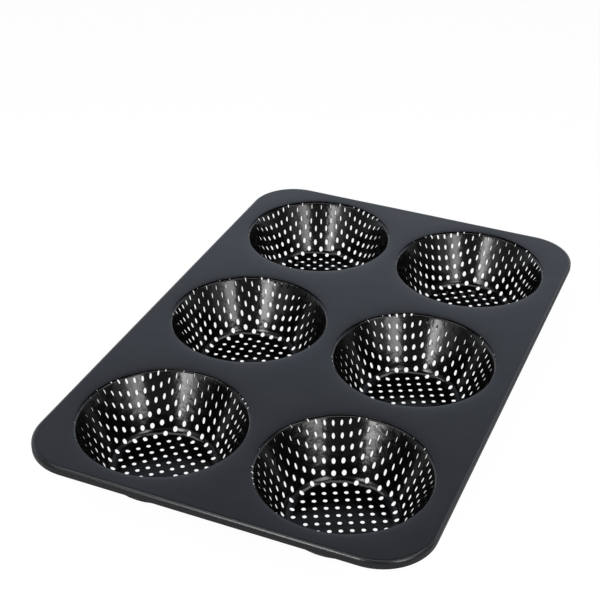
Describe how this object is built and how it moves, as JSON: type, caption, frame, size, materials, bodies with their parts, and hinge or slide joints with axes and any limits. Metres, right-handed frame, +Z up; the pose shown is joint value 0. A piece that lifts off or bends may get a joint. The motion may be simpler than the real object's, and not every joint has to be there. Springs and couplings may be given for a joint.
{
  "type": "hamburger bun pan",
  "caption": "Rectangular steel baking pan with round perforated cups set into a flat deck with rounded corners and a short turned-down skirt.",
  "frame": {"origin": "on the standing plane, under the middle of the deck", "axes": "+X along the deck's short side, to the right seen from the front; +Y along its long side, to the back; +Z up"},
  "size_m": [0.235, 0.355, 0.0359],
  "materials": {
    "deck_coating": "satin dark grey non-stick coating on sheet steel",
    "cup_coating": "glossy black non-stick coating on perforated sheet steel"
  },
  "bodies": {
    "root": {"deck": "deck_coating", "front_left_cup": "cup_coating", "front_right_cup": "cup_coating", "middle_left_cup": "cup_coating", "middle_right_cup": "cup_coating", "back_left_cup": "cup_coating", "back_right_cup": "cup_coating"}
  },
  "joints": []
}
